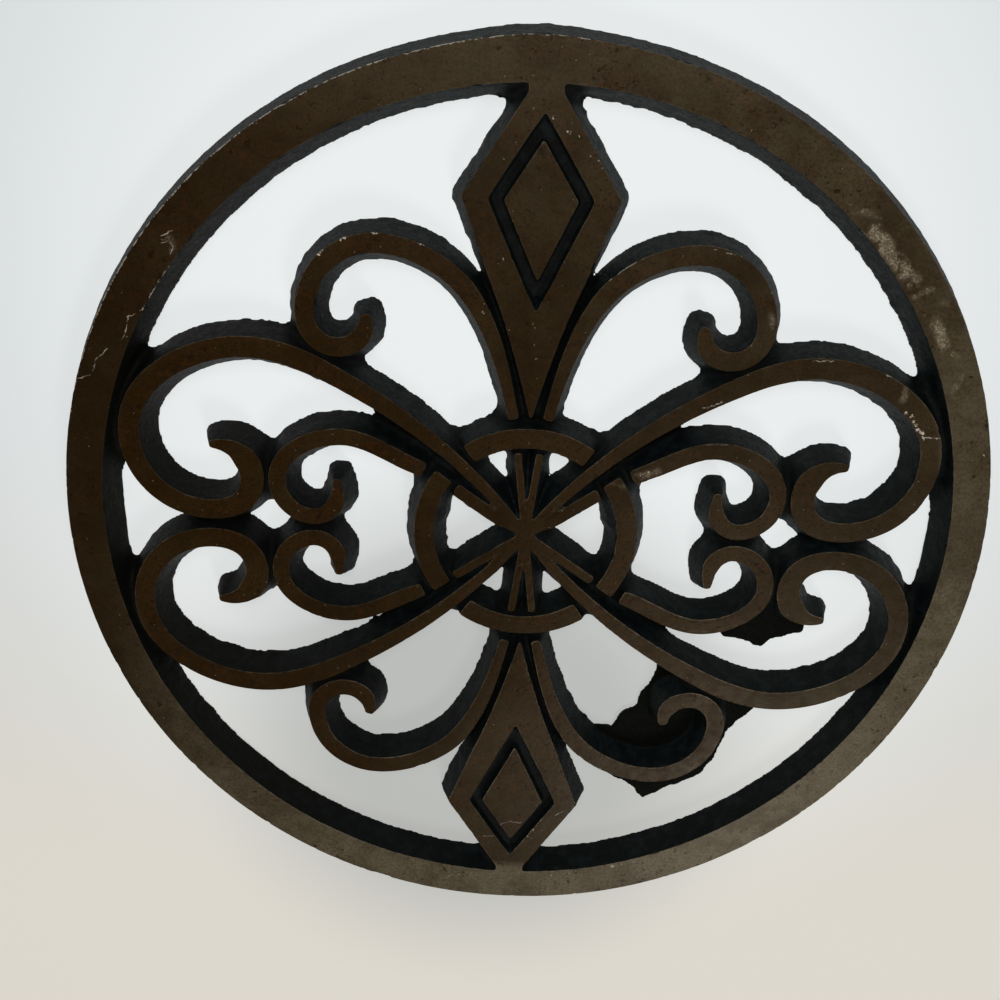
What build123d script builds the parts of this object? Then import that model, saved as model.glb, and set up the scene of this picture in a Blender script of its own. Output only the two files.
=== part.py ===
from build123d import *
import math
import os

# Round openwork trivet, cast in one metal, lying face up on its flat back.
# Millimetres. The origin is on the back plane under the hub, +Z towards the face, +Y to the upper spear.
# The casting is divided along its members: rim, hub, spears and scrolls, which meet in the grooves.

# Overall sizes
overall_diameter = 203.2
thickness = 7.0
wall_draft = 15.0

# Rim
rim_face_width = 7.7

# Hub: a ring of four arcs round a star of bars
hub_ring_radius = 22.2
hub_ring_width = 4.3
hub_end_arc_span = 70.0
hub_side_arc_span = 72.0
hub_seam_inset = 0.6
ring_gap = 2.1
short_bar_angle = 34.5
short_bar_width = 1.9
short_bar_length = 18.5
fork_spread = 7.1
fork_bar_width = 1.5
fork_length = 18.9

# Spears: a long leaf with a raised lozenge in a groove
lozenge_from_rim = 21.4
lozenge_half_width = 7.4
lozenge_rise = 11.5
lozenge_fall = 15.8
groove_width = 2.6
groove_depth = 2.0
spear_border = 4.6
spear_neck_width = 6.6
spear_tip_width = 0.8
spear_waist = 0.6

# Outer scrolls: from the hub's middle, over an arch, round a lobe beside the rim and into a curl
outer_width = 4.4
outer_root_width = 1.8
outer_root_taper = 62.0
outer_curl_width = 5.2
outer_curl_swell = 16.0
outer_tip_width = 1.4
outer_tip_taper = 8.5
outer_rise_radius = 121.7
outer_arch_radius = 29.7
outer_lobe_radius = 16.2
outer_curl_radius = 7.3
outer_arch_end = 46.0
outer_lobe_end = -104.5
outer_tip_angle = -282.0
outer_rim_gap = 2.2
outer_pair_gap = 2.4

# Inner scrolls: from the hub ring, over an arch and round a small lobe beside the outer scroll's curl
inner_width = 3.6
inner_root_width = 3.1
inner_root_taper = 10.0
inner_tip_width = 1.5
inner_tip_taper = 5.5
inner_tip_length = 3.6
inner_arch_radius = 16.1
inner_lobe_radius = 8.1
inner_curl_radius = 5.2
inner_arch_start = 114.8
inner_arch_end = 46.0
inner_lobe_end = -81.0
inner_curl_gap = 0.9
inner_pair_gap = 1.4

# Petal scrolls: beside the spear's stem, over a wide arch, into a curl on the outer scroll and a hook
petal_width = 3.9
petal_root_width = 2.4
petal_root_taper = 24.0
petal_tip_width = 1.8
petal_tip_taper = 4.5
petal_root_offset = 3.4
petal_rise_radius = 83.4
petal_arch_radius = 26.0
petal_lobe_radius = 14.4
petal_curl_radius = 6.5
petal_hook_radius = 5.2
petal_arch_end = 95.0
petal_lobe_end = -2.2
petal_curl_end = -120.0
petal_tip_angle = -197.0
petal_curl_from_centre = 40.3
petal_gap = 1.1

# How far one stretch of an edge curve turns, and how long it may be, between two of its points
station_turn = 22.5
station_length = 12.0

# Sizes that follow from the ones above
flare = thickness * math.tan(math.radians(wall_draft))
rim_outer = overall_diameter / 2 - flare
rim_inner = rim_outer - rim_face_width
hub_inner = hub_ring_radius - hub_ring_width / 2
hub_outer = hub_ring_radius + hub_ring_width / 2
hub_seam = hub_inner - hub_seam_inset
root_radius = hub_outer + ring_gap
lozenge_middle = rim_inner - lozenge_from_rim


# Plane geometry


def polar(centre, radius, angle):
    """The point at an angle on a circle."""
    return centre + Vector(radius * math.cos(math.radians(angle)), radius * math.sin(math.radians(angle)))


def heading(start, end):
    """The angle of the line from one point to another."""
    step = end - start
    return math.degrees(math.atan2(step.Y, step.X))


def crossing(centre_a, radius_a, centre_b, radius_b):
    """Where two circles cross, on the right of the line from the first centre to the second."""
    apart = (centre_b - centre_a).length
    along = (radius_a**2 - radius_b**2 + apart**2) / (2 * apart)
    aside = math.sqrt(radius_a**2 - along**2)
    line = heading(centre_a, centre_b)
    return polar(polar(centre_a, along, line), aside, line - 90)


def back_to_circle(point, direction, radius):
    """Where the line that arrives at a point in a direction crosses a circle about the hub's middle."""
    forward = polar(Vector(), 1, direction)
    along = point.dot(forward)
    aside = point - forward * along
    return aside + forward * math.sqrt(radius**2 - aside.length**2)


def arc_run(centre, radius, start, end):
    """Stations on a clockwise arc: each is a point of the middle line and the direction to its left."""
    turn = start - end
    length = radius * math.radians(turn)
    steps = math.ceil(max(turn / station_turn, length / station_length))
    angles = [start - turn * step / steps for step in range(steps + 1)]
    return [(polar(centre, radius, angle), polar(Vector(), 1, angle)) for angle in angles]


def straight_run(start, end):
    """Stations on a straight stretch."""
    left = polar(Vector(), 1, heading(start, end) + 90)
    return [(start, left), (end, left)]


def joined(*runs):
    """One run of stations, with the points where two runs meet taken once."""
    stations = list(runs[0])
    for run in runs[1:]:
        stations += run[1:]
    return stations


def distances(stations):
    """The distance of each station from the first, along the middle line."""
    travelled = [0.0]
    for (before, _), (after, _) in zip(stations, stations[1:]):
        travelled.append(travelled[-1] + (after - before).length)
    return travelled


def width_at(distance, profile):
    """The width at a distance, between the two nearest entries of a profile."""
    for (near, near_width), (far, far_width) in zip(profile, profile[1:]):
        if distance <= far:
            return near_width + (far_width - near_width) * (distance - near) / (far - near)
    return profile[-1][1]


def bar_face(stations, profile, height, growth):
    """The outline of a bar round its middle line at a height, widened by growth on every side."""
    ahead = polar(Vector(), growth, heading(stations[-2][0], stations[-1][0]))
    behind = polar(Vector(), growth, heading(stations[1][0], stations[0][0]))
    left_side = []
    right_side = []
    for (point, left), distance in zip(stations, distances(stations)):
        half_width = width_at(distance, profile) / 2 + growth
        left_side.append(point + left * half_width)
        right_side.append(point - left * half_width)
    for side in (left_side, right_side):
        side[0] = side[0] + behind
        side[-1] = side[-1] + ahead
    edge_curve = Line if len(stations) == 2 else Spline
    with BuildSketch(Plane.XY.offset(height)) as outline:
        with BuildLine():
            edge_curve(*left_side)
            Line(left_side[-1], right_side[-1])
            edge_curve(*reversed(right_side))
            Line(right_side[0], left_side[0])
        make_face()
    return outline.sketch


def cast_bar(stations, profile):
    """A drafted bar: its face on top, and wider by the flare at the back."""
    back = bar_face(stations, profile, 0.0, flare)
    face = bar_face(stations, profile, thickness, 0.0)
    with BuildPart() as bar:
        loft([back, face], ruled=True)
    return bar.part


def hub_arc(middle, span):
    """A drafted stretch of the hub ring, centred on an angle."""
    with BuildPart() as arc:
        with BuildSketch(Plane.XY.offset(thickness)):
            with BuildLine():
                outside = CenterArc((0, 0), hub_outer, middle - span / 2, span)
                inside = CenterArc((0, 0), hub_inner, middle - span / 2, span)
                Line(outside @ 0, inside @ 0)
                Line(outside @ 1, inside @ 1)
            make_face()
        extrude(amount=-thickness, taper=-wall_draft)
    return arc.part


def mirrored(part, planes):
    """A copy of a member, mirrored in each plane in turn."""
    copy = part
    for plane in planes:
        copy = copy.mirror(plane)
    return copy


def write(part, name):
    """Labels a member and writes its file."""
    part.label = name
    export_step(part, f"parts/{name}.step")


# The design is made once, at its upper right, and mirrored to the other quarters.
left_right = Plane.YZ
up_down = Plane.XZ
quarters = {
    "upper_right": [],
    "upper_left": [left_right],
    "lower_right": [up_down],
    "lower_left": [left_right, up_down],
}

# Rim: a flat ring with drafted walls
with BuildPart() as outer_rim:
    with BuildSketch(Plane.XZ):
        with BuildLine():
            Polyline(
                (rim_inner - flare, 0),
                (rim_outer + flare, 0),
                (rim_outer, thickness),
                (rim_inner, thickness),
                close=True,
            )
        make_face()
    revolve(axis=Axis.Z)

# Outer scroll: one bar from the hub's middle to its tip, cut where it leaves the hub
lobe_y = outer_pair_gap / 2 + outer_width / 2 + outer_lobe_radius
lobe_reach = rim_inner - outer_rim_gap - outer_width / 2 - outer_lobe_radius
outer_lobe = Vector(math.sqrt(lobe_reach**2 - lobe_y**2), lobe_y)
outer_arch = polar(outer_lobe, outer_lobe_radius - outer_arch_radius, outer_arch_end)
outer_curl = polar(outer_lobe, outer_lobe_radius - outer_curl_radius, outer_lobe_end)
outer_rise = crossing(Vector(), outer_rise_radius, outer_arch, outer_rise_radius - outer_arch_radius)
outer_rise_end = heading(outer_rise, outer_arch)
outer_stations = joined(
    arc_run(outer_rise, outer_rise_radius, heading(outer_rise, Vector()), outer_rise_end),
    arc_run(outer_arch, outer_arch_radius, outer_rise_end, outer_arch_end),
    arc_run(outer_lobe, outer_lobe_radius, outer_arch_end, outer_lobe_end),
    arc_run(outer_curl, outer_curl_radius, outer_lobe_end, outer_tip_angle),
)
outer_length = distances(outer_stations)[-1]
outer_bar = cast_bar(
    outer_stations,
    [
        (0.0, outer_root_width),
        (outer_root_taper, outer_width),
        (outer_length - outer_tip_taper - outer_curl_swell, outer_width),
        (outer_length - outer_tip_taper, outer_curl_width),
        (outer_length, outer_tip_width),
    ],
)
with BuildPart() as outer_scroll:
    add(outer_bar)
    Cylinder(hub_seam, 2 * thickness, mode=Mode.SUBTRACT)
    add(outer_rim.part, mode=Mode.SUBTRACT)
    split(bisect_by=up_down, keep=Keep.BOTTOM)

# Hub star: the four scrolls' inner ends, a short bar beside each, and a fork up and down
short_bar = cast_bar(
    straight_run(Vector(), polar(Vector(), short_bar_length, short_bar_angle)),
    [(0.0, short_bar_width), (short_bar_length, short_bar_width)],
)
fork_bar = cast_bar(
    straight_run(Vector(), polar(Vector(), fork_length, 90 - fork_spread)),
    [(0.0, fork_bar_width), (fork_length, fork_bar_width)],
)
with BuildPart() as hub_cross:
    for planes in quarters.values():
        for bar in (outer_bar, short_bar, fork_bar):
            add(mirrored(bar, planes))
    Cylinder(hub_seam, 2 * thickness, mode=Mode.INTERSECT)

# Hub ring: an arc at the top and one at the right, cut where the scrolls pass between them
with BuildPart() as hub_arc_top:
    add(hub_arc(90, hub_end_arc_span))
    add(hub_cross.part, mode=Mode.SUBTRACT)
    add(outer_scroll.part, mode=Mode.SUBTRACT)
    add(mirrored(outer_scroll.part, quarters["upper_left"]), mode=Mode.SUBTRACT)
with BuildPart() as hub_arc_right:
    add(hub_arc(0, hub_side_arc_span))
    add(hub_cross.part, mode=Mode.SUBTRACT)
    add(outer_scroll.part, mode=Mode.SUBTRACT)
    add(mirrored(outer_scroll.part, quarters["lower_right"]), mode=Mode.SUBTRACT)

# All that the ring's outer wall encloses, where the spears and the other scrolls end
with BuildPart() as hub_disc:
    Cone(hub_outer + flare, hub_outer, thickness, align=(Align.CENTER, Align.CENTER, Align.MIN))

# Lozenge: four-sided, longer below its widest points than above them
with BuildSketch(Plane.XY.offset(thickness)) as lozenge_outline:
    with BuildLine():
        Polyline(
            (lozenge_half_width, lozenge_middle),
            (0, lozenge_middle + lozenge_rise),
            (-lozenge_half_width, lozenge_middle),
            (0, lozenge_middle - lozenge_fall),
            close=True,
        )
    make_face()
with BuildSketch(Plane.XY.offset(thickness)) as groove_outline:
    add(lozenge_outline.face())
    offset(amount=groove_width, kind=Kind.INTERSECTION, mode=Mode.REPLACE)
with BuildSketch(Plane.XY.offset(thickness)) as border_outline:
    add(groove_outline.face())
    offset(amount=spear_border, kind=Kind.INTERSECTION, mode=Mode.REPLACE)
with BuildPart() as lozenge:
    extrude(lozenge_outline.sketch, amount=-groove_depth, taper=-wall_draft)

# Spear: the lozenge's border, a neck into the rim and a stem that narrows down to the hub ring
shoulder = border_outline.vertices().sort_by(Axis.X)[-1]
stem_end = Vector(spear_tip_width / 2, root_radius)
stem_middle = (Vector(shoulder.X, shoulder.Y) + stem_end) / 2 - Vector(spear_waist, 0)
neck_bottom = lozenge_middle + lozenge_rise
neck_top = rim_inner + rim_face_width / 2
with BuildSketch(Plane.XY.offset(thickness)) as spear_outline:
    add(border_outline.face())
    with Locations((0, (neck_bottom + neck_top) / 2)):
        Rectangle(spear_neck_width, neck_top - neck_bottom)
    with BuildLine():
        ThreePointArc((shoulder.X, shoulder.Y), stem_middle, stem_end)
        mirror(about=left_right)
        Line((-stem_end.X, stem_end.Y), stem_end)
        Line((-shoulder.X, shoulder.Y), (shoulder.X, shoulder.Y))
    make_face()
with BuildPart() as spear:
    extrude(spear_outline.sketch, amount=-thickness, taper=-wall_draft)
    extrude(groove_outline.sketch, amount=-groove_depth, taper=wall_draft, mode=Mode.SUBTRACT)
    add(outer_rim.part, mode=Mode.SUBTRACT)
    add(hub_disc.part, mode=Mode.SUBTRACT)

# Inner scroll: from the hub ring to a small lobe beside the outer scroll's curl
inner_lobe_y = inner_pair_gap / 2 + inner_width / 2 + inner_lobe_radius
inner_reach = inner_lobe_radius + inner_width / 2
outer_reach = outer_curl_radius + outer_curl_width / 2
curl_apart = inner_reach + inner_curl_gap + outer_reach
curl_aside = math.sqrt(curl_apart**2 - (inner_lobe_y - outer_curl.Y) ** 2)
inner_lobe = Vector(outer_curl.X - curl_aside, inner_lobe_y)
inner_arch = polar(inner_lobe, inner_lobe_radius - inner_arch_radius, inner_arch_end)
inner_curl = polar(inner_lobe, inner_lobe_radius - inner_curl_radius, inner_lobe_end)
inner_foot = polar(inner_arch, inner_arch_radius, inner_arch_start)
inner_root = back_to_circle(inner_foot, inner_arch_start - 90, root_radius)
inner_curl_end = polar(inner_curl, inner_curl_radius, -180)
inner_stations = joined(
    straight_run(inner_root, inner_foot),
    arc_run(inner_arch, inner_arch_radius, inner_arch_start, inner_arch_end),
    arc_run(inner_lobe, inner_lobe_radius, inner_arch_end, inner_lobe_end),
    arc_run(inner_curl, inner_curl_radius, inner_lobe_end, -180),
    straight_run(inner_curl_end, inner_curl_end + Vector(0, inner_tip_length)),
)
inner_length = distances(inner_stations)[-1]
inner_bar = cast_bar(
    inner_stations,
    [
        (0.0, inner_root_width),
        (inner_root_taper, inner_width),
        (inner_length - inner_tip_taper, inner_width),
        (inner_length, inner_tip_width),
    ],
)
with BuildPart() as inner_scroll:
    add(inner_bar)
    add(outer_scroll.part, mode=Mode.SUBTRACT)
    add(hub_disc.part, mode=Mode.SUBTRACT)
    split(bisect_by=up_down, keep=Keep.BOTTOM)

# Petal scroll: from the hub ring beside the spear to a curl that rests on the outer scroll
petal_root = Vector(petal_root_offset, math.sqrt(root_radius**2 - petal_root_offset**2))
rise_apart = outer_rise_radius + outer_width / 2 + petal_gap + petal_width / 2 + petal_curl_radius
rise_above = math.sqrt(rise_apart**2 - (outer_rise.X - petal_curl_from_centre) ** 2)
petal_curl = Vector(petal_curl_from_centre, outer_rise.Y + rise_above)
petal_lobe = polar(petal_curl, petal_curl_radius - petal_lobe_radius, petal_lobe_end)
petal_arch = polar(petal_lobe, petal_lobe_radius - petal_arch_radius, petal_arch_end)
petal_hook = polar(petal_curl, petal_curl_radius - petal_hook_radius, petal_curl_end)
petal_rise = crossing(petal_root, petal_rise_radius, petal_arch, petal_rise_radius - petal_arch_radius)
petal_rise_end = heading(petal_rise, petal_arch)
petal_stations = joined(
    arc_run(petal_rise, petal_rise_radius, heading(petal_rise, petal_root), petal_rise_end),
    arc_run(petal_arch, petal_arch_radius, petal_rise_end, petal_arch_end),
    arc_run(petal_lobe, petal_lobe_radius, petal_arch_end, petal_lobe_end),
    arc_run(petal_curl, petal_curl_radius, petal_lobe_end, petal_curl_end),
    arc_run(petal_hook, petal_hook_radius, petal_curl_end, petal_tip_angle),
)
petal_length = distances(petal_stations)[-1]
petal_bar = cast_bar(
    petal_stations,
    [
        (0.0, petal_root_width),
        (petal_root_taper, petal_width),
        (petal_length - petal_tip_taper, petal_width),
        (petal_length, petal_tip_width),
    ],
)
with BuildPart() as petal_scroll:
    add(petal_bar)
    add(outer_rim.part, mode=Mode.SUBTRACT)
    add(spear.part, mode=Mode.SUBTRACT)
    add(outer_scroll.part, mode=Mode.SUBTRACT)
    add(hub_disc.part, mode=Mode.SUBTRACT)

# Every member to its own file
os.makedirs("parts", exist_ok=True)
write(outer_rim.part, "outer_rim")
write(hub_cross.part, "hub_cross")
write(hub_arc_top.part, "hub_arc_top")
write(hub_arc_right.part, "hub_arc_right")
write(mirrored(hub_arc_top.part, [up_down]), "hub_arc_bottom")
write(mirrored(hub_arc_right.part, [left_right]), "hub_arc_left")
for half, planes in {"upper": [], "lower": [up_down]}.items():
    write(mirrored(spear.part, planes), f"{half}_spear")
    write(mirrored(lozenge.part, planes), f"{half}_lozenge")
for quarter, planes in quarters.items():
    write(mirrored(outer_scroll.part, planes), f"{quarter}_outer_scroll")
    write(mirrored(inner_scroll.part, planes), f"{quarter}_inner_scroll")
    write(mirrored(petal_scroll.part, planes), f"{quarter}_petal_scroll")
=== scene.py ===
import itertools
import math

import bpy
import numpy as np
from mathutils import Matrix, Vector


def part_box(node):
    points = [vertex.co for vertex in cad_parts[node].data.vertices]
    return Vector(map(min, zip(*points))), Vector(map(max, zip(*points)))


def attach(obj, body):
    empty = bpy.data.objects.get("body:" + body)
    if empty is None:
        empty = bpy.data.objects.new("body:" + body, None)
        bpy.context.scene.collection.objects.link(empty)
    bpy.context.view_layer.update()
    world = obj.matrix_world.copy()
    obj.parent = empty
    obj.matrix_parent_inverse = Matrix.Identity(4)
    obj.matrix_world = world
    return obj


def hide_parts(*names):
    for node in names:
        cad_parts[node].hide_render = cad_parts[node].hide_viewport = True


# Round openwork trivet in cast iron: bronze-brown rubbed faces, near-black walls and grooves.
# The skin of the casting is worked out from the faces of the CAD members, as one solid with drafted
# walls, worn edges and rough back edges, and is then divided among the members again.

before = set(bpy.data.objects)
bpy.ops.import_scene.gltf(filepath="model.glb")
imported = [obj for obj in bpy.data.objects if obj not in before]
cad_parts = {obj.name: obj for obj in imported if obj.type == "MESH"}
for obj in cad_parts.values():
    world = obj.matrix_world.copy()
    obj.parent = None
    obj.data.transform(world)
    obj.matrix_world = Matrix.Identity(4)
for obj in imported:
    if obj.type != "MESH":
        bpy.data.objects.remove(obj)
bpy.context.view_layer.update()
scene = bpy.context.scene

# Lengths below are in millimetres, and points are in the part's own frame.
METRES = 0.001
CASTING_SLOT = "bronzed_casting"
AIR = -1
TINY = 1e-12


def box_mm(node):
    """The lowest and highest corner of a CAD node."""
    low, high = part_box(node)
    return np.array(low) / METRES, np.array(high) / METRES


thickness = box_mm("outer_rim")[1][2]
back_radius = box_mm("outer_rim")[1][0]
pocket_floor = box_mm("upper_lozenge")[0][2]
members = sorted(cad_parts)

# Grid that the casting is worked out on, and how many steps its last level but one lies below the face
pitch = 0.46
level_pitch = 0.5
level_below_face = 0.6
grid_margin = 3.0
reach = 12.0

# Outlines: how finely they are divided, how round their corners are worn, and what counts as a shared seam
outline_step = 0.3
corner_turn = math.radians(30)
corner_wear = 0.22
wear_steps = 5
seam_margin = 1.5
seam_width = 0.15
weld = 1e-3

# Noises that shape the casting are sums of rows, each with an amount, a wavelength and a seed.
# Face edges: their radius, and small nicks along them
face_edge_radius = 0.08
nick_depth = 0.3
nick_drop = 0.25
nick_share = 0.5
nick_noise = [(1.0, 1.3, 27), (0.6, 6.0, 29)]
edge_passes = 2
least_steepness = 0.25

# Fillets where members meet: in the grooves, and at the back by region, each with where it starts or ends
groove_fillet = 0.5
wall_fillet = 4.2
leaf_fillet = 1.0
leaves_from = (28.0, 34.0)
leaf_reach = 8.0
rim_fillet = 4.4
rim_fillet_reach = 8.0
hub_fillet = 6.0
hub_fillet_reach = 15.0
hub_ring_fillet = 1.6
hub_ring = (20.0, 18.0)

# Feet: how much further than the draft the walls spread at the back
foot = 0.4
foot_from = (3.0, 7.0)
foot_outside = 0.25
hub_foot = 0.25

# The hub's short upper bars are wider on their undersides: how sharply that side is told from the others,
# how far out and up it starts and is full, and the angles where it ends short of the long arms
bar_widening = 0.85
bar_side_slope = 1.3
bars_out = (3, 6)
bars_up = (0, 2)
bars_angle = (33, 30)

# Grooves worn wider beside the leaves, uneven faces and the floors of the lozenges' pockets
groove_widening = 0.7
groove_widening_reach = 3.2
face_waviness = 0.05
wave_noise = [(1.0, 9.0, 13), (1.0, 22.0, 15)]
floor_reach = 3.6
floor_fillet = 0.3
floor_waves = 2

# Ragged back edges, coarser in patches and calmer on the rim's outside
back_edge_radius = 0.2
ragged_noise = [(0.24, 1.0, 5), (0.2, 2.9, 7)]
ragged_power = 1.5
ragged_outside = 0.3
rim_outside_margin = 1
patch_mean = 0.65
patch_noise = [(0.6, 24.0, 3)]
patch_limits = (0.2, 1.3)

# Sand grain: how deep it is on walls and faces, and how far below the face it is shallow
grain_on_walls = 0.055
grain_on_faces = 0.012
grain_noise = [(1.0, 1.05, 23), (0.8, 2.3, 25)]
face_band = 0.6
face_band_blend = 0.4

# Thin webs of flash left on the back, as outlines
flash_thickness = 0.9
flash_top_noise = [(0.3, 5.0, 21)]
flash_edge_noise = [(0.35, 1.7, 17), (0.6, 4.0, 19)]
flash_sheets = {
    "petal_web": [
        (36.5, -32.5), (32.4, -34.3), (32.4, -37.4), (30.0, -42.8), (29.2, -46.0), (25.8, -47.8),
        (23.2, -52.2), (17.5, -52.0), (22.0, -64.0), (30.5, -70.0), (32.6, -72.4), (38.0, -69.2),
        (44.5, -66.2), (48.8, -60.8), (51.5, -51.6), (57.5, -45.5), (46.0, -37.5),
    ],
    "scroll_flap": [
        (46.0, -24.0), (47.4, -26.2), (53.8, -27.6), (56.6, -28.9), (58.4, -26.9), (62.2, -25.6),
        (65.5, -24.4), (66.5, -19.0), (57.0, -18.0),
    ],
}

# The stub where the metal was poured, on the rim's outside: its middle in degrees, and half its width and
# its height at the back and at the face
gate_angle = 91.2
gate_half_width = 5.0
gate_height = 0.15
gate_face_half_width = 12.0
gate_face_height = 0.55

# Wear on the faces. Scuffs are paths with a radius and a strength.
scuffs = [
    ([(60.0, 71.5), (65.4, 70.3)], 1.4, 0.5),
    ([(65.5, 67.1), (68.8, 63.4), (74.3, 58.1)], 2.5, 0.95),
    ([(75.2, 55.0), (78.4, 56.5)], 1.3, 0.5),
    ([(80.0, 54.6), (82.3, 53.6)], 1.1, 0.4),
    ([(80.3, 50.2), (83.2, 45.2)], 1.8, 0.8),
    ([(83.4, 44.8), (85.8, 43.2)], 1.1, 0.45),
    ([(87.6, 39.3), (86.7, 35.0)], 1.3, 0.5),
    ([(77.0, 36.5), (76.7, 33.7)], 1.2, 0.6),
    ([(47.2, 50.1), (47.9, 48.1)], 1.1, 0.5),
    ([(-73.0, 60.8), (-72.6, 58.9)], 1.5, 0.45),
    ([(22.6, 14.2), (27.5, 16.0)], 1.4, 0.55),
    ([(18.6, 12.9), (21.0, 12.0)], 1.2, 0.45),
]

# Scratches are paths with a strength: the fainter, the more broken. Their reach grows with it.
scratches = [
    ([(82.9, 25.8), (84.4, 25.8), (86.2, 25.4)], 1.2),
    ([(57.2, 41.2), (61.0, 41.3)], 1.1),
    ([(72.7, 38.8), (73.6, 38.5)], 1.4),
    ([(34.9, 62.6), (40.0, 61.7)], 0.8),
    ([(35.9, 30.3), (39.0, 31.6)], 1.1),
    ([(37.8, 22.3), (41.3, 22.5)], 1.0),
    ([(-74.1, 61.4), (-72.7, 62.3)], 1.1),
    ([(-74.2, 60.1), (-73.2, 60.5), (-72.3, 59.2), (-72.8, 58.0)], 0.9),
    ([(-79.3, 46.8), (-80.9, 45.6), (-82.6, 44.9), (-83.1, 42.8), (-84.0, 40.5)], 0.9),
    ([(-87.8, 37.8), (-89.8, 35.9), (-90.8, 33.8), (-91.9, 32.4), (-94.0, 31.7)], 1.0),
    ([(10.9, -74.2), (13.2, -72.9)], 0.8),
    ([(-2.5, -77.6), (-0.2, -76.8), (2.8, -76.9)], 0.8),
    ([(-8.0, -81.4), (-4.6, -81.4)], 0.7),
    ([(-15.5, -94.5), (-13.8, -93.8), (-11.9, -93.7)], 0.8),
]
scratch_least_reach = 0.5
scratch_reach_gain = 0.4
no_side = 9.0

# Chips are points with a radius.
chips = [
    (-2.4, 87.5, 0.20), (1.6, 85.8, 0.34), (4.5, 83.5, 0.32), (6.6, 82.8, 0.22), (-7.6, 78.1, 0.20),
    (9.0, 79.4, 0.28), (10.5, 78.6, 0.26), (11.3, 77.1, 0.26), (6.1, 71.2, 0.16),
    (-6.9, 59.4, 0.24), (-10.5, 48.5, 0.26), (-0.5, 46.6, 0.22), (0.7, 39.4, 0.20), (0.8, 35.3, 0.20),
    (-5.8, 38.1, 0.20), (-9.4, 47.8, 0.18),
    (10.6, -92.6, 0.30), (15.3, -91.9, 0.30), (16.5, -91.3, 0.26), (25.8, -89.1, 0.34), (28.1, -88.4, 0.26),
    (30.8, -87.4, 0.26), (6.4, -74.0, 0.28), (7.3, -76.3, 0.24), (5.5, -78.9, 0.28), (4.3, -81.0, 0.28),
    (77.8, 31.0, 0.45), (79.1, 30.3, 0.35), (79.7, 29.2, 0.42), (80.3, 28.4, 0.38), (80.9, 27.4, 0.5),
    (81.9, 26.8, 0.6), (82.4, 25.7, 0.45), (83.1, 25.9, 0.3),
    (-43.6, 58.9, 0.45), (-43.1, 59.5, 0.42), (-39.2, 62.0, 0.45), (-38.5, 62.3, 0.45), (-32.7, 63.4, 0.34),
    (-32.1, 63.4, 0.34), (-23.2, 61.6, 0.30), (-22.6, 61.4, 0.30),
    (95.8, 22.4, 0.26), (62.9, 67.2, 0.28), (24.0, 14.9, 0.28), (24.8, 15.2, 0.28), (25.8, 15.6, 0.24),
]

# Edges rubbed bright are paths along a face's edge, with a strength. The rim's own run is given in degrees.
rubbed_edges = [
    ([(13.4, 55.8), (15.9, 57.7), (18.3, 59.2), (20.2, 60.3)], 0.8),
    ([(-73.6, 55.4), (-75.4, 52.7), (-77.1, 50.1), (-79.0, 48.0), (-79.3, 46.8)], 0.9),
    ([(7.6, -75.9), (5.5, -78.9), (4.3, -80.6)], 0.7),
    ([(-82.6, 24.0), (-80.9, 27.0), (-75.7, 31.8), (-69.9, 34.6), (-61.9, 37.2)], 0.45),
    ([(-66.2, 19.2), (-61.7, 18.9), (-59.0, 16.1)], 0.5),
]
rubbed_rim = range(86, 168, 2)
rubbed_rim_strength = 1.0
rubbed_reach = 1.2

# How a mark fades across its path, how far a groove's painted shade reaches onto its walls, and which way
# the edges with a painted highlight face
mark_core = 1.5
groove_shade_reach = 3.5
lit_side = np.array([-0.35, 0.94])


# Faces and outlines of the members


def face_triangles(node):
    """The triangles of a member's flat front face, as plane points."""
    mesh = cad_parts[node].data
    mesh.calc_loop_triangles()
    points = np.empty(3 * len(mesh.vertices))
    mesh.vertices.foreach_get("co", points)
    corners = np.empty(3 * len(mesh.loop_triangles), np.int32)
    mesh.loop_triangles.foreach_get("vertices", corners)
    triangles = points.reshape(-1, 3)[corners.reshape(-1, 3)] / METRES
    on_face = np.all(triangles[..., 2] > thickness - weld, axis=1)
    return triangles[on_face][..., :2]


def outline_loops(triangles):
    """The closed outlines of a face: chains of the edges that only one triangle has."""
    onward = {}
    for triangle in np.round(triangles / weld).astype(int).tolist():
        a, b, c = (tuple(corner) for corner in triangle)
        for start, end in ((a, b), (b, c), (c, a)):
            if onward.get(end) and start in onward[end]:
                onward[end].remove(start)
            else:
                onward.setdefault(start, []).append(end)
    loops = []
    while any(onward.values()):
        first = next(point for point, ends in onward.items() if ends)
        loop = [first]
        while onward.get(loop[-1]):
            loop.append(onward[loop[-1]].pop())
        loops.append(np.array(loop[:-1]) * weld)
    return loops


def smooth_loop(loop):
    """A closed outline as short steps on a curve through its points, with its corners kept."""
    chords = np.roll(loop, -1, axis=0) - loop
    lengths = np.linalg.norm(chords, axis=1)
    directions = chords / lengths[:, None]
    before = np.roll(directions, 1, axis=0)
    before_lengths = np.roll(lengths, 1)
    turns = np.arccos(np.clip(np.sum(directions * before, axis=1), -1, 1))
    tangents = before * lengths[:, None] + directions * before_lengths[:, None]
    tangents /= np.linalg.norm(tangents, axis=1)[:, None]
    corner = turns > corner_turn
    leaving = np.where(corner[:, None], directions, tangents)
    arriving = np.where(np.roll(corner, -1)[:, None], directions, np.roll(tangents, -1, axis=0))
    points = []
    for start, chord, length, out, into in zip(loop, chords, lengths, leaving, arriving):
        steps = max(1, math.ceil(length / outline_step))
        t = np.arange(steps)[:, None] / steps
        bend_out = t * (1 - t) ** 2 * length
        bend_into = t**2 * (t - 1) * length
        points.append(start + t**2 * (3 - 2 * t) * chord + bend_out * out + bend_into * into)
    return np.concatenate(points)


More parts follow.
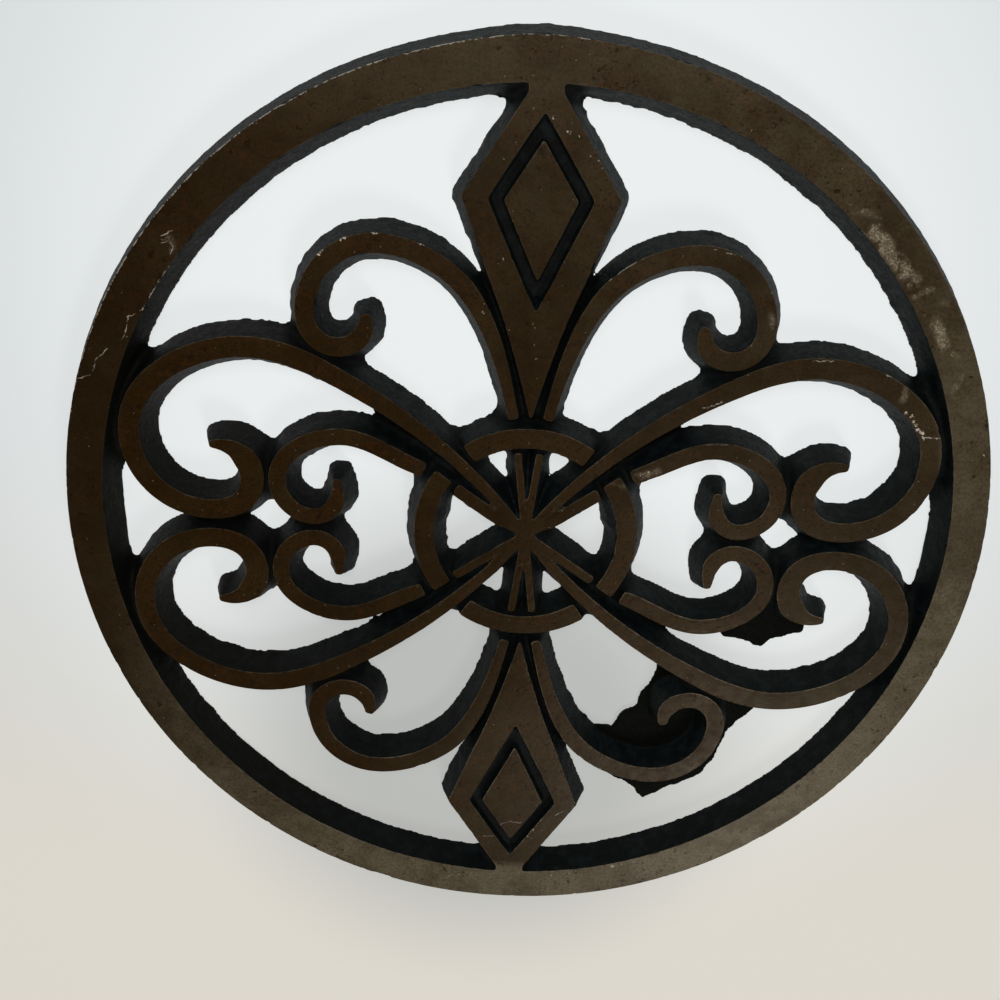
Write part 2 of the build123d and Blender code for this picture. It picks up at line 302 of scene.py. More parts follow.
def evened(loop):
    """A closed outline with steps of one length."""
    ring = np.vstack([loop, loop[:1]])
    travelled = np.concatenate([[0], np.cumsum(np.linalg.norm(np.diff(ring, axis=0), axis=1))])
    count = math.ceil(travelled[-1] / outline_step)
    stations = np.arange(count) * travelled[-1] / count
    return np.stack([np.interp(stations, travelled, ring[:, k]) for k in (0, 1)], axis=1)


def worn(loop, seams):
    """A closed outline with its corners worn round, apart from the ends of its seams."""
    steps = np.arange(-wear_steps, wear_steps + 1)
    weights = np.exp(-0.5 * (steps * outline_step / corner_wear) ** 2)
    soft = sum(weight * np.roll(loop, step, axis=0) for step, weight in zip(steps, weights)) / weights.sum()
    for seam in seams:
        near = distance_to_segments(loop, seam) < seam_margin
        soft[near] = loop[near]
    return soft


def segments_of(loops):
    """The steps of closed outlines, each as two end points."""
    return np.concatenate([np.stack([loop, np.roll(loop, -1, axis=0)], axis=1) for loop in loops])


def distance_to_segments(points, segments):
    """The distance of each point from the nearest segment."""
    start, along = segments[:, 0], segments[:, 1] - segments[:, 0]
    lengths = np.maximum(np.sum(along**2, axis=1), TINY)
    to_point = points[:, None] - start
    t = np.clip(np.sum(to_point * along, axis=2) / lengths, 0, 1)
    return np.linalg.norm(to_point - t[..., None] * along, axis=2).min(axis=1)


half_extent = back_radius + grid_margin
axis = np.arange(-half_extent, half_extent + pitch, pitch)
plane_x, plane_y = np.meshgrid(axis, axis, indexing="ij")
plane_radius = np.hypot(plane_x, plane_y)
plane_angle = np.degrees(np.arctan2(plane_y, plane_x))


def inside_of(segments):
    """Where the grid lies inside closed outlines."""
    inside = np.zeros(plane_x.shape, bool)
    for (x0, y0), (x1, y1) in segments:
        first, last = np.searchsorted(axis, (min(y0, y1), max(y0, y1)))
        for row in range(first, last):
            x = x0 + (axis[row] - y0) * (x1 - x0) / (y1 - y0)
            inside[np.searchsorted(axis, x):, row] ^= True
    return inside


def distance_field(segments):
    """The distance of the grid's points from outlines, as far as the reach."""
    field = np.full(plane_x.shape, reach)
    for (x0, y0), (x1, y1) in segments:
        i0, i1 = np.searchsorted(axis, (min(x0, x1) - reach, max(x0, x1) + reach))
        j0, j1 = np.searchsorted(axis, (min(y0, y1) - reach, max(y0, y1) + reach))
        px = axis[i0:i1, None] - x0
        py = axis[None, j0:j1] - y0
        dx, dy = x1 - x0, y1 - y0
        t = np.clip((px * dx + py * dy) / max(dx * dx + dy * dy, TINY), 0, 1)
        window = field[i0:i1, j0:j1]
        np.minimum(window, np.hypot(px - t * dx, py - t * dy), out=window)
    return field


def signed_distance(loops, hidden=()):
    """Distance from outlines, negative inside them, that leaves hidden segments out."""
    segments = segments_of(loops)
    inside = inside_of(segments)
    for other in hidden:
        middles = segments.mean(axis=1)
        segments = segments[distance_to_segments(middles, other) > seam_width]
    field = distance_field(segments)
    return np.where(inside, -field, field)


# The scrolls run into the hub's star, and the spears into the rim, with no groove between them.
scroll_names = [name for name in members if name.endswith("outer_scroll")]
spear_names = [name for name in members if name.endswith("spear")]
run_on = {"hub_cross": scroll_names, "outer_rim": spear_names}
run_on.update({name: ["hub_cross"] for name in scroll_names})
run_on.update({name: ["outer_rim"] for name in spear_names})

sharp_loops = {}
for name in members:
    sharp_loops[name] = [evened(smooth_loop(loop)) for loop in outline_loops(face_triangles(name))]
face_loops, face_distance = {}, {}
for name in members:
    seams = [segments_of(sharp_loops[other]) for other in run_on.get(name, ())]
    face_loops[name] = [worn(loop, seams) for loop in sharp_loops[name]]
    face_distance[name] = signed_distance(face_loops[name], seams)


# Noise and short formulas


def lattice_noise(coordinates, wavelength, seed):
    """Smooth random values from -1 to 1 at points, given one array for each direction."""
    size = 64
    table = np.random.RandomState(seed).uniform(-1, 1, (size,) * len(coordinates))
    cells = [np.floor(c / wavelength).astype(int) for c in coordinates]
    blends = [c / wavelength - cell for c, cell in zip(coordinates, cells)]
    blends = [b * b * (3 - 2 * b) for b in blends]
    total = 0.0
    for corner in itertools.product((0, 1), repeat=len(coordinates)):
        weight = 1.0
        for blend, bit in zip(blends, corner):
            weight = weight * (blend if bit else 1 - blend)
        total = total + weight * table[tuple((cell + bit) % size for cell, bit in zip(cells, corner))]
    return total


def summed_noise(coordinates, rows):
    """Noises added up, each with its amount, wavelength and seed."""
    return sum(amount * lattice_noise(coordinates, wavelength, seed) for amount, wavelength, seed in rows)


def plane_noise(rows):
    return summed_noise((plane_x, plane_y), rows)


def climb(value, start, full):
    """0 as far as the start, 1 from full on, and a straight line between."""
    return np.clip((value - start) / (full - start), 0, 1)


def close_by(distance, limit):
    """1 as far as half the limit, and then down to 0 at the limit."""
    return np.clip(2 - 2 * distance / limit, 0, 1)


def rounded_max(a, b, radius):
    """The overlap of two solids, with the edge between them rounded."""
    a, b = a + radius, b + radius
    corner = np.hypot(np.maximum(a, 0), np.maximum(b, 0))
    return np.minimum(np.maximum(a, b), 0) + corner - radius


def filleted_min(a, b, radius):
    """Two solids joined, with a fillet where they meet."""
    blend = np.maximum(radius - np.abs(a - b), 0) / radius
    return np.minimum(a, b) - blend**2 * radius / 4


# The casting as a field: negative in the metal, positive in the air

# The face lies between the last two levels, and the back between the second and the third
top_layer = math.floor(thickness / level_pitch + 1)
levels = (np.arange(top_layer + 2) - top_layer - level_below_face) * level_pitch + thickness
face_radius = np.linalg.norm(segments_of(face_loops["outer_rim"]).reshape(-1, 2), axis=1).max()
flare = back_radius - face_radius
draft_cosine = math.cos(math.atan(flare / thickness))
outside_rim = plane_radius > face_radius - rim_outside_margin

# How far each point of the plane is from its nearest member, and from the next one across a groove
star = ["hub_cross", *scroll_names]
groups = [np.minimum.reduce([face_distance[name] for name in star])]
groups += [face_distance[name] for name in members if name not in star]
nearest, second = np.partition(np.stack(groups), 1, axis=0)[:2]
member_at = np.argmin(np.stack([face_distance[name] for name in members]), axis=0)
lozenge_distance = np.minimum(face_distance["upper_lozenge"], face_distance["lower_lozenge"])

# The grooves beside the spears, their lozenges and the petal scrolls are worn wider
leaf_names = [name for name in members if name.endswith(("spear", "lozenge", "petal_scroll"))]
second_leaf = np.partition(np.stack([face_distance[name] for name in leaf_names]), 1, axis=0)[1]
widening = groove_widening * np.clip(1 - second_leaf / groove_widening_reach, 0, 1)
nearest, second = nearest + widening, second + widening

# Fillets at the back, by region
by_leaves = close_by(second_leaf, leaf_reach) * climb(plane_radius, *leaves_from)
near_rim = close_by(face_distance["outer_rim"], rim_fillet_reach)
in_hub = climb(plane_radius, *hub_ring)
near_hub = close_by(plane_radius, hub_fillet_reach)
back_fillet = np.full(plane_x.shape, wall_fillet)
for share, fillet in (
    (by_leaves, leaf_fillet), (near_rim, rim_fillet), (in_hub, hub_ring_fillet), (near_hub, hub_fillet),
):
    back_fillet = back_fillet + (fillet - back_fillet) * share

# Ragged edges
ragged = plane_noise(ragged_noise) * np.clip(patch_mean + plane_noise(patch_noise), *patch_limits)
ragged[outside_rim] *= ragged_outside


def gate_swelling(height, half_width):
    """How far the rim's outside stands out round the gate."""
    along = (plane_angle - gate_angle) / np.degrees(half_width / back_radius)
    return np.where(outside_rim, height * np.exp(-(along**2)), 0.0)


gate = gate_swelling(gate_height, gate_half_width)
nearest = nearest - gate_swelling(gate_face_height, gate_face_half_width)

# Wider undersides of the hub's short upper bars
under_bars = np.clip(-bar_side_slope * np.gradient(face_distance["hub_cross"], pitch)[1], 0, 1) * in_hub
under_bars *= climb(np.abs(plane_x), *bars_out) * climb(plane_y, *bars_up)
under_bars *= climb(np.degrees(np.arctan2(plane_y, np.abs(plane_x))), *bars_angle)
nearest = nearest - bar_widening * under_bars

# Feet, and the height of the faces
foot_share = climb(second, *foot_from)
full_flare = flare + np.where(outside_rim, foot_outside, foot * foot_share + hub_foot * in_hub)
waves = face_waviness * plane_noise(wave_noise)
face_height = thickness + waves - face_waviness
face_section = filleted_min(nearest, second, groove_fillet)

# Flash
flash = np.full(plane_x.shape, reach)
for sheet in flash_sheets.values():
    flash = np.minimum(flash, signed_distance([np.array(sheet)]))
flash += plane_noise(flash_edge_noise)
flash_top = flash_thickness + plane_noise(flash_top_noise)


def casting_level(z):
    """The field at one height."""
    depth = np.clip((thickness - z) / thickness, 0, 1)
    fillet = groove_fillet + (back_fillet - groove_fillet) * depth
    section = filleted_min(nearest, second, fillet)
    wall = (section - full_flare * depth - ragged * depth**ragged_power - gate * depth) * draft_cosine
    field = rounded_max(wall, z - face_height, face_edge_radius)
    floor = np.maximum(lozenge_distance - floor_reach, z - pocket_floor - floor_waves * waves)
    field = filleted_min(field, floor, floor_fillet)
    web = np.maximum(flash, z - flash_top)
    field = filleted_min(field, web, floor_fillet)
    return rounded_max(field, np.full_like(field, -z), back_edge_radius)


casting = np.stack([casting_level(z) for z in levels], axis=2).astype(np.float32)

# Which member owns each point of the metal: lozenges end at their pocket's floor
owner = np.repeat(member_at[..., None], len(levels), axis=2)
for half in ("upper", "lower"):
    under_lozenge = (owner == members.index(f"{half}_lozenge")) & (levels < pocket_floor)
    owner[under_lozenge] = members.index(f"{half}_spear")
owner = np.where(casting < 0, owner, AIR)


# Skin: a point in each grid cell that the surface passes through, a quad across each edge between owners
cells = np.array(owner.shape) - 1
cell_strides = np.array([cells[1] * cells[2], cells[2], 1])


def grid_edges(direction):
    """Grid edges along one direction between owners: cells round them, crossings, owners, skin, face."""
    near = [slice(None)] * 3
    far = [slice(None)] * 3
    near[direction] = slice(None, -1)
    far[direction] = slice(1, None)
    near, far = tuple(near), tuple(far)
    starts = np.argwhere(owner[near] != owner[far])
    index = tuple(starts.T)
    owners = np.stack([owner[near][index], owner[far][index]], axis=1)
    crosses_skin = np.any(owners == AIR, axis=1)
    start_value, end_value = casting[near][index][crosses_skin], casting[far][index][crosses_skin]
    crossing = np.full(len(starts), 0.5)
    crossing[crosses_skin] = start_value / (start_value - end_value)
    points = starts.astype(float)
    points[:, direction] += crossing
    across, over = cell_strides[(direction + 1) % 3], cell_strides[(direction + 2) % 3]
    around = (starts @ cell_strides)[:, None] - (across + over, over, 0, across)
    crosses_face = crosses_skin & (starts[:, 2] == top_layer) & (direction == 2)
    return around, points, owners, crosses_skin, crosses_face


found = zip(*(grid_edges(direction) for direction in range(3)))
edge_cells, edge_points, edge_owners, edge_skin, edge_face = (np.concatenate(part) for part in found)
edge_wall = edge_skin & ~edge_face

cell_ids, quads = np.unique(edge_cells, return_inverse=True)
quads = quads.reshape(edge_cells.shape)


def mean_at_points(chosen):
    """The mean crossing of the chosen edges in each cell, and how many there are."""
    corners = quads[chosen].ravel()
    count = np.bincount(corners, minlength=len(cell_ids))
    sums = [np.bincount(corners, np.repeat(edge_points[chosen, k], 4), len(cell_ids)) for k in range(3)]
    return np.stack(sums, axis=1) / np.maximum(count, 1)[:, None], count


skin_points, skin_count = mean_at_points(edge_skin)
cap_points, _ = mean_at_points(~edge_skin)
on_skin = skin_count > 0
grid_points = np.where(on_skin[:, None], skin_points, cap_points)
skin = grid_points * (pitch, pitch, level_pitch) + (axis[0], axis[0], levels[0])


# Face edges: a point that a face and a wall share moves onto the line where they meet, with small nicks


def touches(chosen):
    """Which points belong to a quad of the chosen grid edges."""
    found = np.zeros(len(cell_ids), bool)
    found[quads[chosen].ravel()] = True
    return found


def at_points(values, points):
    """Values of a plane grid at points between its own."""
    place = (points - axis[0]) / pitch
    corner = np.floor(place).astype(int)
    i, j = corner.T
    x, y = (place - corner).T
    low = values[i, j] * (1 - x) + values[i + 1, j] * x
    high = values[i, j + 1] * (1 - x) + values[i + 1, j + 1] * x
    return low * (1 - y) + high * y


on_edge = touches(edge_face) & touches(edge_wall)
edge_place = skin[on_edge, :2]
nicks = nick_depth * np.clip(summed_noise(edge_place.T, nick_noise) - nick_share, 0, 1)
slope_x, slope_y = np.gradient(face_section, pitch)
for _ in range(edge_passes):
    uphill = np.stack([at_points(slope_x, edge_place), at_points(slope_y, edge_place)], axis=1)
    steepness = np.maximum(np.sum(uphill**2, axis=1), least_steepness)
    shift = np.clip((at_points(face_section, edge_place) + nicks) / steepness, -pitch / 2, pitch / 2)
    edge_place = edge_place - uphill * shift[:, None]
skin[on_edge, :2] = edge_place
skin[on_edge, 2] = at_points(face_height, edge_place) - nick_drop * nicks


# Normals and grain


def unit(vectors):
    """Vectors at a length of one."""
    return vectors / np.maximum(np.linalg.norm(vectors, axis=1), TINY)[:, None]


def quad_normals(points, corners):
    """Area-weighted normals of quads."""
    a, b, c, d = (points[corners[:, k]] for k in range(4))
    return np.cross(c - a, d - b)


def skin_normals(points, chosen):
    """Normals of the casting's skin at its points, from the chosen quads."""
    outward = np.where(edge_owners[:, :1] == AIR, quads[:, ::-1], quads)[chosen]
    normals = quad_normals(points, outward)
    sums = [np.bincount(outward.ravel(), np.repeat(normals[:, k], 4), len(points)) for k in range(3)]
    return unit(np.stack(sums, axis=1))


# Small bumps on walls and back, hardly any on the rubbed faces
normals = skin_normals(skin, edge_skin)
face_share = np.clip((skin[:, 2] - thickness + face_band) / face_band_blend, 0, 1)
grain = np.where(on_skin, grain_on_walls + (grain_on_faces - grain_on_walls) * face_share, 0)
grain *= summed_noise(skin.T, grain_noise)
skin = skin + normals * grain[:, None]
skin[:, 2] = np.clip(skin[:, 2], 0, thickness)
face_normals = skin_normals(skin, edge_face)
wall_normals = skin_normals(skin, edge_wall)


# Marks of wear, painted highlights on edges and painted shade in grooves, as values at the skin's points


def path_marks(paths):
    """How strong marks along paths are at the skin's points, and how far left of a path these lie."""
    marks = np.zeros(len(skin))
    sides = np.full(len(skin), no_side)
    for path, radius, strength in paths:
        path = np.array(path)
        near = np.all((skin[:, :2] > path.min(0) - radius) & (skin[:, :2] < path.max(0) + radius), axis=1)
        points = skin[near, :2]
        nearest_yet = np.full(len(points), np.inf)
        side = np.zeros(len(points))
        for start, end in zip(path[:-1], path[1:]):
            distance = distance_to_segments(points, np.array([[start, end]]))
            along = (end - start) / np.linalg.norm(end - start)
            left = along[0] * (points[:, 1] - start[1]) - along[1] * (points[:, 0] - start[0])
            closer = distance < nearest_yet
            side[closer] = left[closer]
            nearest_yet[closer] = distance[closer]
        strengths = strength * np.clip(mark_core - mark_core * nearest_yet / radius, 0, 1)
        stronger = strengths > marks[near]
        marks[near] = np.where(stronger, strengths, marks[near])
        sides[near] = np.where(stronger, side, sides[near])
    return marks * face_share, sides


rim_turns = [math.radians(degrees) for degrees in rubbed_rim]
rim_run = [(face_radius * math.cos(turn), face_radius * math.sin(turn)) for turn in rim_turns]
rubbed_paths = [(rim_run, rubbed_reach, rubbed_rim_strength)]
rubbed_paths += [(path, rubbed_reach, strength) for path, strength in rubbed_edges]
scratch_paths = [
    (path, scratch_least_reach + scratch_reach_gain * strength, strength) for path, strength in scratches
]
# Painted highlight: edges facing lit_side, towards the key lamp, get brighter wear
edge_lit = np.zeros(len(skin))
edge_lit[on_edge] = np.clip(0.5 + 0.5 * (uphill @ lit_side) / np.linalg.norm(uphill, axis=1), 0, 1)
skin_marks = {"edge": on_edge.astype(float), "edge_lit": edge_lit}
skin_marks["rub"] = on_edge * path_marks(rubbed_paths)[0]
# Painted shade in grooves: how close the next member across a groove is
skin_marks["groove"] = np.clip(1 - at_points(second, skin[:, :2]) / groove_shade_reach, 0, 1)
skin_marks["scuff"], _ = path_marks(scuffs)
skin_marks["scratch"], skin_marks["scratch_side"] = path_marks(scratch_paths)


def new_object(name, data):
    """An object in the scene."""
    thing = bpy.data.objects.new(name, data)
    scene.collection.objects.link(thing)
    return thing


def make_piece(index, material):
    """A closed mesh of one member: its share of the skin, capped where it meets its neighbours."""
    name = members[index]
    starts_here, ends_here = edge_owners[:, 0] == index, edge_owners[:, 1] == index
    corners = np.concatenate([quads[starts_here], quads[ends_here][:, ::-1]])
    outer = np.concatenate([edge_skin[starts_here], edge_skin[ends_here]])
    front = np.concatenate([edge_face[starts_here], edge_face[ends_here]])
    used, corners = np.unique(corners, return_inverse=True)
    corners = corners.reshape(-1, 4)
    points = skin[used]

    mesh = bpy.data.meshes.new(f"{name}_casting")
    mesh.vertices.add(len(points))
    mesh.vertices.foreach_set("co", (points * METRES).ravel())
    mesh.loops.add(corners.size)
    mesh.loops.foreach_set("vertex_index", corners.ravel())
    mesh.polygons.add(len(corners))
    mesh.polygons.foreach_set("loop_start", np.arange(0, corners.size, 4))
    mesh.polygons.foreach_set("use_smooth", np.ones(len(corners), bool))
    mesh.update(calc_edges=True)
    flat = unit(quad_normals(points, corners))
    loop_normals = np.where(outer[:, None, None], wall_normals[used][corners], flat[:, None])
    loop_normals = np.where(front[:, None, None], face_normals[used][corners], loop_normals)
    mesh.normals_split_custom_set(loop_normals.reshape(-1, 3))
    for label, values in skin_marks.items():
        mesh.attributes.new(label, "FLOAT", "POINT").data.foreach_set("value", values[used])
    on_face = np.repeat(front, 4).astype(float)
    mesh.attributes.new("face", "FLOAT", "CORNER").data.foreach_set("value", on_face)
    mesh.materials.append(material)

    piece = new_object(f"{name}_casting", mesh)
    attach(piece, "root")
    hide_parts(name)


# Materials


class Nodes:
    """Short calls that add nodes to a material or a world."""

    def __init__(self, tree):
        self.tree = tree
        tree.nodes.clear()

    def set(self, socket, value):
        """Puts a constant on a socket, or links another socket to it."""
        if isinstance(value, bpy.types.NodeSocket):
            self.tree.links.new(value, socket)
        else:
            socket.default_value = value

    def add(self, kind, sockets=(), **settings):
        """A new node with its settings, and with values for its sockets by name or number."""
        node = self.tree.nodes.new(kind)
        for key, value in settings.items():
            setattr(node, key, value)
        for key, value in dict(sockets).items():
            self.set(node.inputs[key], value)
        return node

    def math(self, operation, a, b=0.0, clamp=False):
        node = self.add("ShaderNodeMath", {0: a, 1: b}, operation=operation, use_clamp=clamp)
        return node.outputs[0]

    def times(self, product, *factors):
        for factor in factors:
            product = self.math("MULTIPLY", product, factor)
        return product

    def most(self, a, b):
        return self.math("MAXIMUM", a, b)

    def plus(self, a, b, share=None):
        """A number with another, or a share of it, added."""
        return self.math("ADD", a, b if share is None else self.times(b, share))

    def ramp(self, value, low, high, out_low=0.0, out_high=1.0):
        """A smooth step of a value between two limits."""
        sockets = enumerate((value, low, high, out_low, out_high))
        return self.add("ShaderNodeMapRange", sockets, interpolation_type="SMOOTHSTEP").outputs[0]

    def vector(self, operation, a, b=(0.0, 0.0, 0.0)):
        """A number worked out from two vectors."""
        return self.add("ShaderNodeVectorMath", {0: a, 1: b}, operation=operation).outputs["Value"]

    def along(self, vector, direction, *limits):
        """A ramp of how far a vector goes in a direction."""
        return self.ramp(self.vector("DOT_PRODUCT", vector, direction), *limits)

    def away(self, vector, point, *limits):
        """A ramp of the distance from a point."""
        return self.ramp(self.vector("DISTANCE", vector, point), *limits)

    def noise_node(self, vector, wavelength, **more):
        """A noise texture with a wavelength in millimetres."""
        sockets = {"Vector": vector, "Scale": 1 / (wavelength * METRES), **more}
        return self.add("ShaderNodeTexNoise", sockets, noise_dimensions="3D")

    def noise(self, vector, wavelength, detail, roughness):
        return self.noise_node(vector, wavelength, Detail=detail, Roughness=roughness).outputs["Fac"]

    def mix(self, share, a, b, kind="RGBA"):
        """A colour between two colours."""
        sockets = {"Factor": share, "A": a, "B": b}
        return self.add("ShaderNodeMix", sockets, data_type=kind).outputs["Result"]

    def blend(self, share, a, b):
        """A number between two numbers."""
        return self.mix(share, a, b, "FLOAT")

    def wandering(self, vector, wavelength, amount):
        """Points moved about by a noise, in millimetres."""
        noise = self.noise_node(vector, wavelength).outputs["Color"]
        sockets = {0: noise, 1: (2 * amount * METRES,) * 3, 2: (-amount * METRES,) * 3}
        shift = self.add("ShaderNodeVectorMath", sockets, operation="MULTIPLY_ADD").outputs[0]
        return self.add("ShaderNodeVectorMath", {0: vector, 1: shift}, operation="ADD").outputs["Vector"]

    def specks(self, vector, spacing, core, radius, share):
        """Sparse small dots, spread over the face's plane."""
        sockets = {"Vector": vector, "Scale": 1 / (spacing * METRES)}
        cell = self.add("ShaderNodeTexVoronoi", sockets, voronoi_dimensions="2D", feature="F1")
        random = self.add("ShaderNodeSeparateColor", {0: cell.outputs["Color"]}).outputs[0]
        dot = self.ramp(cell.outputs["Distance"], core / spacing, radius / spacing, 1.0, 0.0)
        return self.times(dot, self.ramp(random, 1 - share, 1.0))

    def attribute(self, name):
        return self.add("ShaderNodeAttribute", attribute_name=name).outputs["Fac"]

    def finish(self, shader, kind="Material"):
        """Makes a shader the surface of the material or the world."""
        self.add(f"ShaderNodeOutput{kind}", {"Surface": shader.outputs[0]})


def new_material(name):
    """A material without nodes, and the calls that add them."""
    material = bpy.data.materials.new(name)
    material.use_nodes = True
    return material, Nodes(material.node_tree)


# Colours, as linear light
brown = (0.0235, 0.0110, 0.0016, 1)
brown_light = (0.0385, 0.0220, 0.0062, 1)
brown_dark = (0.0110, 0.0050, 0.0012, 1)
rust = (0.0480, 0.0175, 0.0040, 1)
spot = (0.0100, 0.0032, 0.0010, 1)
# Painted sheen: stands in for light reflected off the faces, strongest on the rim's lower right
painted_sheen = (0.150, 0.125, 0.077, 1)
black = (0.0022, 0.0043, 0.0054, 1)
black_light = (0.0085, 0.0128, 0.0142, 1)
# Painted shade: the near-black that walls darken to on the left, in grooves and on low webs
painted_shade_black = (0.0012, 0.0016, 0.0014, 1)
dust = (0.0400, 0.0420, 0.0400, 1)
bare_metal = (0.66, 0.57, 0.46, 1)
# Worn edges, partly a painted highlight on edges that catch the light
worn_and_highlit_edge = (0.19, 0.155, 0.105, 1)
rubbed_edge = (0.40, 0.37, 0.30, 1)
scuffed_metal = (0.44, 0.36, 0.25, 1)

# Noises of the casting's coats: wavelength in millimetres, detail and roughness
coat_noises = {
    "broad": (14.0, 3.0, 0.6),
    "middle": (3.2, 4.0, 0.65),
    "fine": (0.7, 3.0, 0.6),
    "speck": (1.3, 2.0, 0.75),
    "spots": (1.9, 3.0, 0.7),
    "grit": (0.55, 2.0, 0.6),
    "cluster": (17.0, 3.0, 0.6),
    "sand": (0.42, 3.0, 0.7),
    "blotch": (2.6, 3.0, 0.65),
    "fleck": (0.42, 3.0, 0.75),
}
noise_middle = 0.5

# Ramps below give where a value starts and ends and, if these aren't 0 and 1, what comes out there.
# Places in them are in metres. A share says how much of a noise or a mark is added to the value first.
RIGHT = (1.0, 0.0, 0.0)
FAR = (0.0, 1.0, 0.0)
UP = (0.0, 0.0, 1.0)
sheen_direction = (0.5, -0.866, 0.0)

# Lacquer: light and dark brown, rust in patches, a sandy grain, darker within the rim, and painted shade on
# the rim's left
light_brown = (0.35, 0.68)
dark_mottle = (0.48, 0.74, 0.0, 0.65)
rust_patches = (0.42, 0.60)
rust_specks = (0.44, 0.62)
rust_strength = 0.8
sandy = (0.46, 0.66, 0.0, 0.8)
rim_band = (0.0885, 0.0915)
inner_darkness = 0.2
left_shade_limits = (-0.09, -0.03, 0.5, 0.0)

# Painted sheen: a lighter, greyer brown standing in for reflected light; on the rim it grows to the lower
# right and at the top, within the rim it is faint
rim_sheen = (-0.110, 0.105, 0.0, 0.58)
rim_sheen_left = (-0.096, -0.072, 0.2, 1.0)
top_sheen = (0.068, 0.1, 0.0, 0.13)
top_sheen_direction = (0.12, 0.993, 0.0)
inner_sheen = (-0.01, 0.07, 0.0, 0.10)
inner_sheen_direction = (0.8, 0.6, 0.0)
low_sheen = (0.012, 0.03, 0.07, 0.0)
low_sheen_middle = (0.0, -0.065, 0.007)
sheen_clouds = (0.36, 0.64, 0.72, 1.28)
sheen_grain = (0.55, 1.0, 0.6, 1.25)
sheen_grain_share = 0.6

# Dark spots
spot_limits = (0.65, 0.74)
spot_patch_share = 0.07
dot_patch_share = 0.05
spot_strength = 0.75

# Walls: mottled black with dust in the grain, and painted shade on the left, in grooves and on the webs at
# the back
wall_mottle = (0.42, 0.66)
wall_grain = (0.50, 0.70, 0.0, 0.7)
wall_dust = (0.70, 0.78, 0.0, 0.7)
left_wall_shade = (-0.095, 0.0, 0.9, 0.0)
web_facing = (0.5, 0.9)
web_height = (0.0015, 0.0025, 1.0, 0.0)
low_shade_strength = 0.9

# Edges: a face runs over its edge here and there, and edges are worn and rubbed; the worn edges carry a
# painted highlight, strongest where they face the key lamp and towards the lower right
edge_spill = (1.05, 1.25)
edge_spill_share = 0.6
edge_line = (0.74, 1.02)
edge_line_share = 0.3
edge_patches = (0.40, 0.60, 0.35, 1.0)
edge_gaps = (0.38, 0.58, 0.3, 1.0)
edge_toward_sheen = (-0.03, 0.07, 0.4, 1.0)
edge_light = (0.15, 0.85, 0.15, 1.0)
rub_gaps = (0.42, 0.54, 0.25, 1.0)
rub_limits = (0.42, 0.85, 0.0, 0.85)

# Pale specks: spacing, core and radius in millimetres, and the share of places that have one
pale_specks = (2.6, 0.064, 0.16, 0.15)
speck_strength = 0.5

# Scuffs: a thin patchy haze with fine flecks of bare metal
scuff_limits = (0.0, 0.9)
blotch_limits = (0.42, 0.68)
blotch_scuff_share = 0.14
fleck_limits = (0.58, 0.76, 0.0, 0.6)
fleck_scuff_share = 0.13
fleck_start = (0.02, 0.4)
scuff_haze = 0.2

# Scratches: how far a line wanders off its path, where it breaks, and its core and width at full strength
scratch_wander = 1.3
scratch_gaps = (0.4, 0.58)
scratch_core = 0.04
scratch_width = 0.12
scratch_least_width = 0.01
scratch_brightness = (0.6, 0.0)

# Chips: how they are torn out of round, the core's share of the radius, and how brightness grows with it
chip_tear_wavelength = 0.45
chip_tear = 0.7
chip_core = 0.55
chip_least_brightness = 0.3
chip_brightness_gain = 1.2
chip_most_brightness = 0.9

# Gloss and fine relief
face_roughness = (0.3, 0.75, 0.32, 0.46)
wall_roughness = (0.3, 0.7, 0.55, 0.7)
low_roughness_share = 0.25
specular_level = 0.11
sheen_tint = (1.0, 0.86, 0.62, 1)
face_sand = 0.2
pit_depth = 0.2
torn_relief = 0.6
relief_strength = 0.8
relief_depth = 0.14


def lacquer(nodes, place, noise, patches, spotted):
    """Brown with a sandy grain, rust in patches, a painted sheen for reflected light, painted shade on the
    rim's left, and dark spots.
    """
    face = nodes.mix(nodes.ramp(noise["broad"], *light_brown), brown, brown_light)
    face = nodes.mix(nodes.ramp(noise["middle"], *dark_mottle), face, brown_dark)
    rusty = nodes.times(nodes.ramp(noise["speck"], *rust_specks), patches)
    face = nodes.mix(nodes.times(rusty, rust_strength), face, rust)
    face = nodes.mix(nodes.ramp(noise["sand"], *sandy), face, brown_dark)
    on_rim = nodes.ramp(nodes.vector("LENGTH", place), *rim_band)
    # Painted shade: the rim's face darkens towards the left
    painted_left_shade = nodes.along(place, RIGHT, *left_shade_limits)
    face = nodes.mix(nodes.blend(on_rim, inner_darkness, painted_left_shade), face, brown_dark)
    # Painted sheen mixed into the faces' colour
    sheen_share = nodes.times(painted_face_sheen(nodes, place, on_rim), nodes.ramp(noise["broad"], *sheen_clouds))
    grainy = nodes.ramp(nodes.plus(noise["fine"], noise["middle"], sheen_grain_share), *sheen_grain)
    face = nodes.mix(nodes.math("MULTIPLY", sheen_share, grainy, clamp=True), face, painted_sheen)
    dotted = nodes.ramp(nodes.plus(noise["grit"], patches, dot_patch_share), *spot_limits)
    return nodes.mix(nodes.times(nodes.most(spotted, dotted), spot_strength), face, spot)


def painted_face_sheen(nodes, place, on_rim):
    """How much painted sheen, standing in for reflected light, the faces get on the rim and within it."""
    off_left = nodes.along(place, RIGHT, *rim_sheen_left)
    at_rim = nodes.times(nodes.along(place, sheen_direction, *rim_sheen), off_left)
    at_top = nodes.along(place, top_sheen_direction, *top_sheen)
    within = nodes.along(place, inner_sheen_direction, *inner_sheen)
    at_foot = nodes.away(place, low_sheen_middle, *low_sheen)
    return nodes.blend(on_rim, nodes.plus(within, at_foot), nodes.plus(at_rim, at_top))


